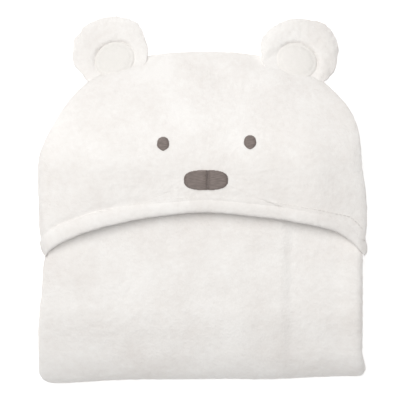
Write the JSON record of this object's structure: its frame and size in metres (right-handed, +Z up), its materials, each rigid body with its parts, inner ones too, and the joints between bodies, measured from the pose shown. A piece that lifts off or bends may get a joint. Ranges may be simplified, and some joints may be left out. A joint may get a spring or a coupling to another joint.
{
  "type": "hooded baby towel",
  "caption": "Plush hooded baby towel folded into a flat bundle, with a bear-face hood lying over it, embroidered eyes and nose, and padded round ears.",
  "frame": {"origin": "middle of the footprint, on the surface that the towel lies on", "axes": "+X to the right of the bear's face as it is looked at, +Y from the bottom fold to the ears, +Z up out of the face"},
  "size_m": [0.308, 0.3344, 0.0684],
  "materials": {
    "plush": "soft off-white plush pile",
    "ear_lining": "shorter off-white pile",
    "wadding": "matt loose fibre",
    "embroidery": "satin stitch, slight sheen",
    "sewing_thread": "matt spun thread"
  },
  "bodies": {
    "bundle": {"back_section": "plush", "tail_section": "plush", "inner_section": "plush"},
    "front": {"front_section": "plush"},
    "hood": {"neck_section": "plush", "hood_back_panel": "plush", "hood_edge_seam": "plush", "hood_face_panel": "plush", "hood_hem": "plush", "hem_stitching": "sewing_thread", "eye_left": "embroidery", "eye_right": "embroidery", "nose": "embroidery"},
    "ear_left": {"ear_left_lining": "ear_lining", "ear_left_front": "plush", "ear_left_wadding": "wadding", "ear_left_back": "plush"},
    "ear_right": {"ear_right_lining": "ear_lining", "ear_right_front": "plush", "ear_right_wadding": "wadding", "ear_right_back": "plush"}
  },
  "joints": [
    {"name": "front_unfold", "type": "hinge", "parent": "bundle", "child": "front", "pos_m": [0, -0.16724, 0.0258], "axis": [-1, 0, 0], "range_deg": [-170, 0]},
    {"name": "hood_flip", "type": "hinge", "parent": "front", "child": "hood", "pos_m": [0, -0.07924, 0.0556], "axis": [1, 0, 0], "range_deg": [0, 160]},
    {"name": "ear_left_fold", "type": "hinge", "parent": "hood", "child": "ear_left", "pos_m": [-0.083, 0.12135, 0.02098], "axis": [0.9116, 0.4111, 0], "range_deg": [0, 90]},
    {"name": "ear_right_fold", "type": "hinge", "parent": "hood", "child": "ear_right", "pos_m": [0.083, 0.12135, 0.02098], "axis": [0.9116, -0.4111, 0], "range_deg": [0, 90]}
  ]
}
